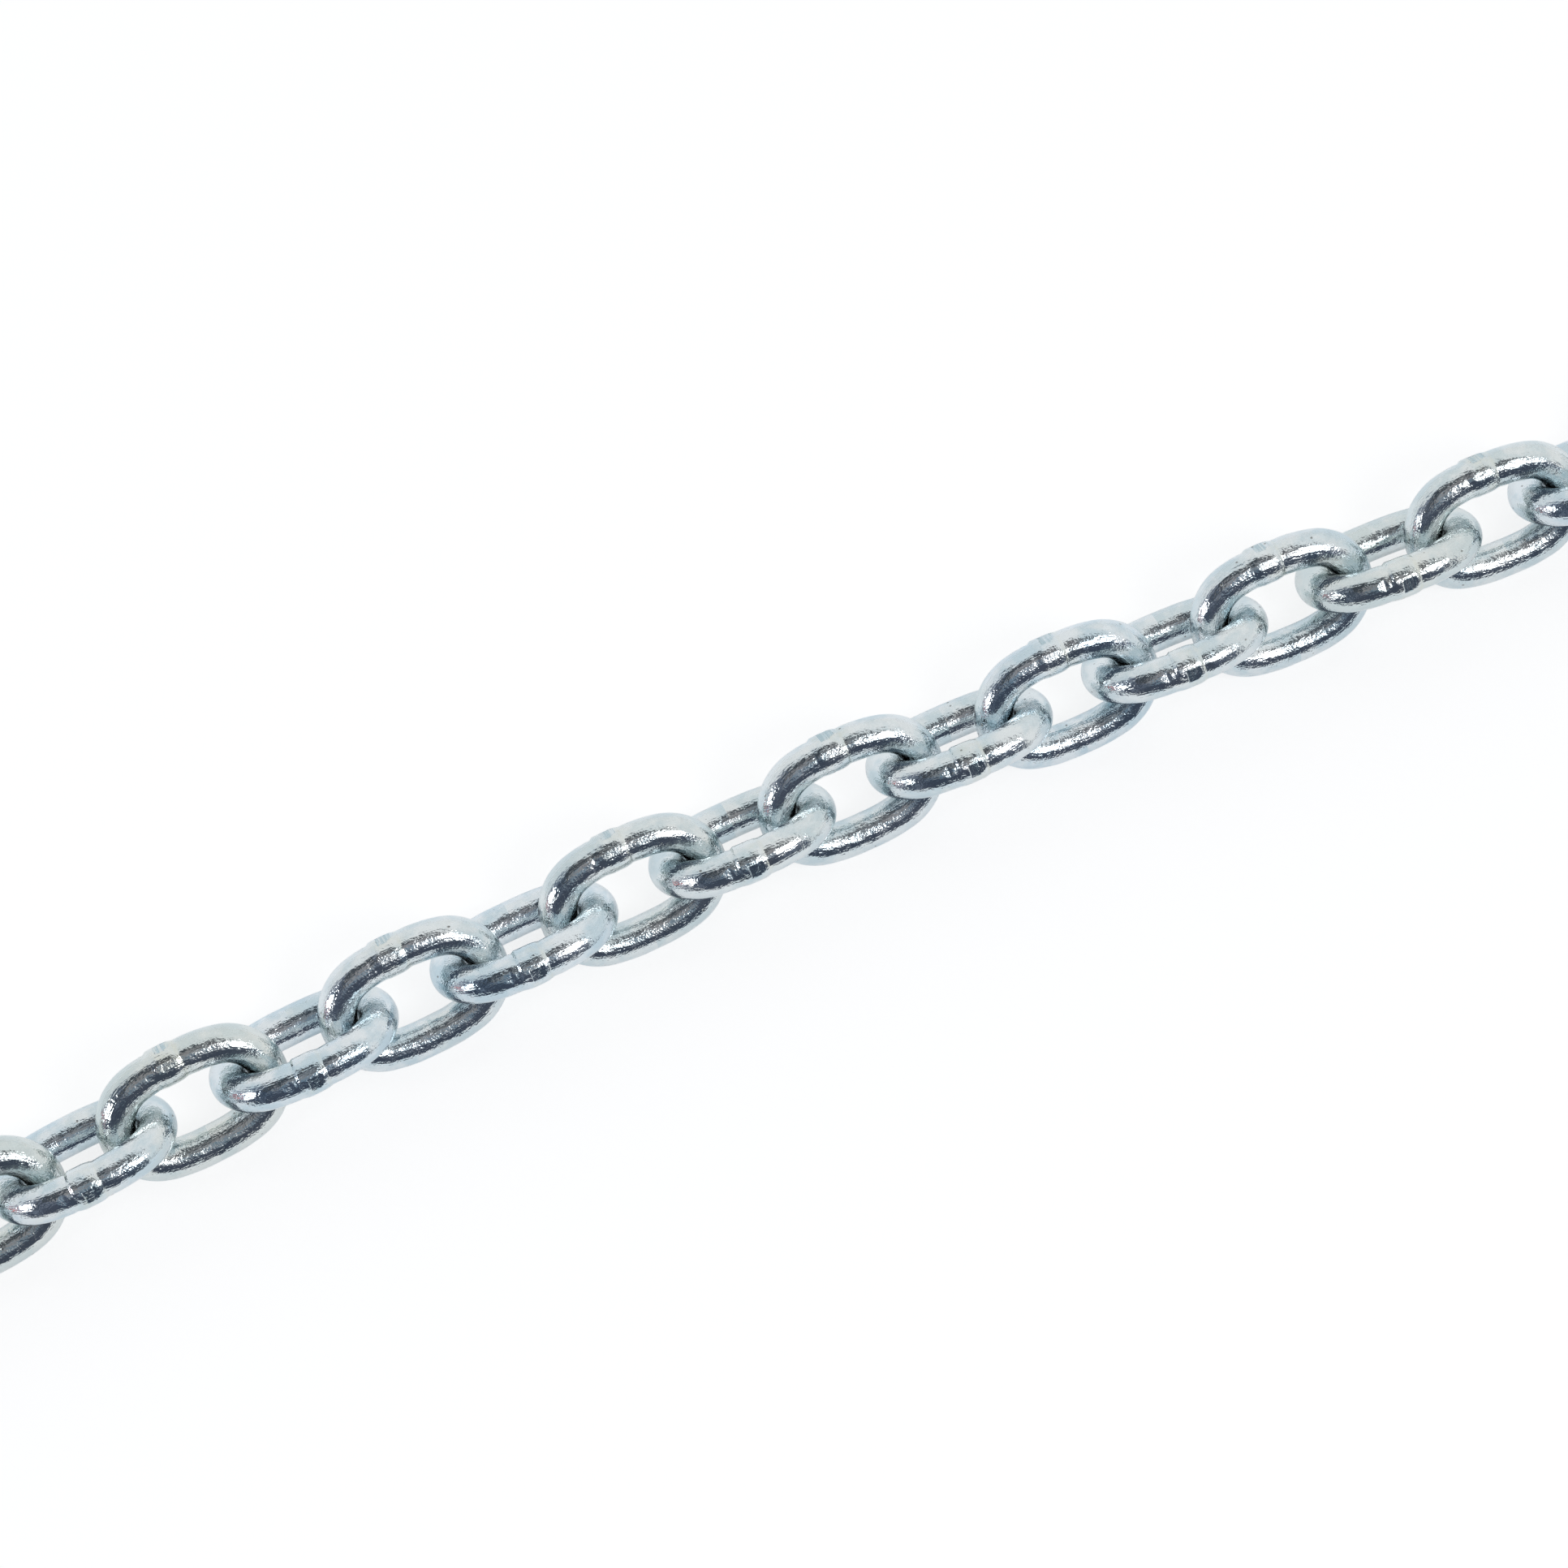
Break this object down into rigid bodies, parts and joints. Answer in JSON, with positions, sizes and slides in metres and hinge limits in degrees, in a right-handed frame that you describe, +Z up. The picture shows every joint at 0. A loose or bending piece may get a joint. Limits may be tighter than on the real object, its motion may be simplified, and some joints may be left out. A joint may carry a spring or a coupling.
{
  "type": "short-link lifting chain",
  "caption": "Length of welded short-link steel chain in bright zinc plate; round-wire links hang in each other crosswise and swing freely to lift, sling or tie down a load.",
  "frame": {"origin": "centre of the chain's box, on the surface that the chain lies on", "axes": "+X along the chain from link_01 to link_20, +Y across it, towards the outside of its slight curve, +Z up"},
  "size_m": [0.5058, 0.0307, 0.0232],
  "materials": {
    "zinc_plated_steel": "bright zinc plate with a faint blue-green cast, polished by handling, duller at the welds"
  },
  "bodies": {
    "link_01": {"link_01": "zinc_plated_steel"},
    "link_02": {"link_02": "zinc_plated_steel"},
    "link_03": {"link_03": "zinc_plated_steel"},
    "link_04": {"link_04": "zinc_plated_steel"},
    "link_05": {"link_05": "zinc_plated_steel"},
    "link_06": {"link_06": "zinc_plated_steel"},
    "link_07": {"link_07": "zinc_plated_steel"},
    "link_08": {"link_08": "zinc_plated_steel"},
    "link_09": {"link_09": "zinc_plated_steel"},
    "link_10": {"link_10": "zinc_plated_steel"},
    "link_11": {"link_11": "zinc_plated_steel"},
    "link_12": {"link_12": "zinc_plated_steel"},
    "link_13": {"link_13": "zinc_plated_steel"},
    "link_14": {"link_14": "zinc_plated_steel"},
    "link_15": {"link_15": "zinc_plated_steel"},
    "link_16": {"link_16": "zinc_plated_steel"},
    "link_17": {"link_17": "zinc_plated_steel"},
    "link_18": {"link_18": "zinc_plated_steel"},
    "link_19": {"link_19": "zinc_plated_steel"},
    "link_20": {"link_20": "zinc_plated_steel"}
  },
  "joints": [
    {"name": "link_02_swing", "type": "hinge", "parent": "link_01", "child": "link_02", "pos_m": [-0.21632, -0.00271, 0.01146], "axis": [-0.0457, 0.7056, 0.7071], "range_deg": [-110, 110]},
    {"name": "link_03_swing", "type": "hinge", "parent": "link_02", "child": "link_03", "pos_m": [-0.19186, -0.00132, 0.01146], "axis": [0.0414, -0.7151, 0.6978], "range_deg": [-110, 110]},
    {"name": "link_04_swing", "type": "hinge", "parent": "link_03", "child": "link_04", "pos_m": [-0.16739, -0.0001, 0.01146], "axis": [0.0369, -0.7231, -0.6898], "range_deg": [-110, 110]},
    {"name": "link_05_swing", "type": "hinge", "parent": "link_04", "child": "link_05", "pos_m": [-0.14291, 0.00096, 0.01146], "axis": [-0.0323, 0.7286, -0.6842], "range_deg": [-110, 110]},
    {"name": "link_06_swing", "type": "hinge", "parent": "link_05", "child": "link_06", "pos_m": [-0.11843, 0.00185, 0.01146], "axis": [-0.0274, 0.7308, 0.682], "range_deg": [-110, 110]},
    {"name": "link_07_swing", "type": "hinge", "parent": "link_06", "child": "link_07", "pos_m": [-0.09394, 0.00257, 0.01146], "axis": [0.0224, -0.7296, 0.6835], "range_deg": [-110, 110]},
    {"name": "link_08_swing", "type": "hinge", "parent": "link_07", "child": "link_08", "pos_m": [-0.06945, 0.00313, 0.01146], "axis": [0.0173, -0.725, -0.6885], "range_deg": [-110, 110]},
    {"name": "link_09_swing", "type": "hinge", "parent": "link_08", "child": "link_09", "pos_m": [-0.04495, 0.00352, 0.01146], "axis": [-0.0122, 0.7177, -0.6962], "range_deg": [-110, 110]},
    {"name": "link_10_swing", "type": "hinge", "parent": "link_09", "child": "link_10", "pos_m": [-0.02045, 0.00374, 0.01146], "axis": [-0.0072, 0.7088, 0.7054], "range_deg": [-110, 110]},
    {"name": "link_11_swing", "type": "hinge", "parent": "link_10", "child": "link_11", "pos_m": [0.00405, 0.0038, 0.01146], "axis": [0.0024, -0.6994, 0.7147], "range_deg": [-110, 110]},
    {"name": "link_12_swing", "type": "hinge", "parent": "link_11", "child": "link_12", "pos_m": [0.02855, 0.00368, 0.01146], "axis": [-0.0024, -0.6911, -0.7228], "range_deg": [-110, 110]},
    {"name": "link_13_swing", "type": "hinge", "parent": "link_12", "child": "link_13", "pos_m": [0.05305, 0.00341, 0.01146], "axis": [0.007, 0.6849, -0.7286], "range_deg": [-110, 110]},
    {"name": "link_14_swing", "type": "hinge", "parent": "link_13", "child": "link_14", "pos_m": [0.07755, 0.00296, 0.01146], "axis": [0.0116, 0.682, 0.7312], "range_deg": [-110, 110]},
    {"name": "link_15_swing", "type": "hinge", "parent": "link_14", "child": "link_15", "pos_m": [0.10204, 0.00235, 0.01146], "axis": [-0.0163, -0.6828, 0.7304], "range_deg": [-110, 110]},
    {"name": "link_16_swing", "type": "hinge", "parent": "link_15", "child": "link_16", "pos_m": [0.12652, 0.00157, 0.01146], "axis": [-0.021, -0.6871, -0.7263], "range_deg": [-110, 110]},
    {"name": "link_17_swing", "type": "hinge", "parent": "link_16", "child": "link_17", "pos_m": [0.15101, 0.00063, 0.01146], "axis": [0.026, 0.6942, -0.7193], "range_deg": [-110, 110]},
    {"name": "link_18_swing", "type": "hinge", "parent": "link_17", "child": "link_18", "pos_m": [0.17548, -0.00048, 0.01146], "axis": [0.0311, 0.703, 0.7105], "range_deg": [-110, 110]},
    {"name": "link_19_swing", "type": "hinge", "parent": "link_18", "child": "link_19", "pos_m": [0.19995, -0.00176, 0.01146], "axis": [-0.0364, -0.7121, 0.7011], "range_deg": [-110, 110]},
    {"name": "link_20_swing", "type": "hinge", "parent": "link_19", "child": "link_20", "pos_m": [0.22441, -0.0032, 0.01146], "axis": [-0.0417, -0.7203, -0.6925], "range_deg": [-110, 110]}
  ]
}
